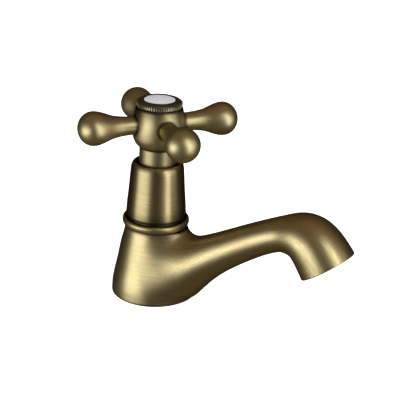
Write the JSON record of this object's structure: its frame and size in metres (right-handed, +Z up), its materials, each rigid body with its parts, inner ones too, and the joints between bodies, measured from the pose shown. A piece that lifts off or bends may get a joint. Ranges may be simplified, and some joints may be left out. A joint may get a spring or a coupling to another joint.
{
  "type": "basin pillar tap",
  "caption": "Antique-bronze single-inlet basin pillar tap with a turned cross handle, white porcelain index disc, tapered bonnet, flared foot and short bell-mouthed spout.",
  "frame": {"origin": "middle of the foot, on the deck surface that the body stands on", "axes": "+Z up along the body, bonnet and handle axis; +X horizontally along the spout, away from the body; +Y completes the right-handed frame"},
  "size_m": [0.1426, 0.069, 0.1578],
  "materials": {
    "antique_bronze": "antique bronze, brushed satin under clear lacquer",
    "dark_bronze": "dark patinated, knurled",
    "porcelain": "white gloss glaze",
    "plain_brass": "machined",
    "steel": "stainless, satin",
    "black_rubber": "matt moulded",
    "white_acetal": "moulded",
    "grey_acetal": "moulded",
    "alumina": "lapped",
    "red_fibre": "pressed fibre"
  },
  "bodies": {
    "tap": {"body_casting": "antique_bronze", "trim_ring": "antique_bronze", "bonnet": "antique_bronze", "valve_headwork": "plain_brass", "thrust_washer": "white_acetal", "fixed_disc": "alumina", "lip_seal": "black_rubber", "headwork_washer": "red_fibre", "aerator_housing": "grey_acetal", "aerator_insert": "white_acetal", "aerator_mesh": "steel", "aerator_seal": "black_rubber", "inlet_tail": "plain_brass", "tail_washer": "red_fibre", "deck_gasket": "black_rubber"},
    "handle": {"handle_hub": "antique_bronze", "arm_right": "antique_bronze", "arm_back": "antique_bronze", "arm_left": "antique_bronze", "arm_front": "antique_bronze", "index_bezel": "dark_bronze", "index_disc": "porcelain", "handle_screw": "steel", "valve_spindle": "plain_brass", "spindle_clip": "steel", "spindle_orings": "black_rubber", "moving_disc": "alumina"},
    "clamp_washers": {"clamp_rubber": "black_rubber", "clamp_washer": "plain_brass"},
    "backnut": {"backnut": "plain_brass"}
  },
  "joints": [
    {"name": "handle_turn", "type": "hinge", "parent": "tap", "child": "handle", "pos_m": [0, 0, 0.0904], "axis": [0, 0, 1], "range_deg": [0, 90]},
    {"name": "clamp_slide", "type": "slide", "parent": "tap", "child": "clamp_washers", "axis": [0, 0, 1], "range_m": [-0.0074, 0.0146]},
    {"name": "backnut_turn", "type": "hinge", "parent": "clamp_washers", "child": "backnut", "pos_m": [0, 0, -0.027], "axis": [0, 0, 1], "range_deg": [-1448.7, 2877.6]}
  ],
  "couplings": [
    {"joint": "clamp_slide", "follows": "backnut_turn", "m_per_rad": 0.00028871}
  ]
}
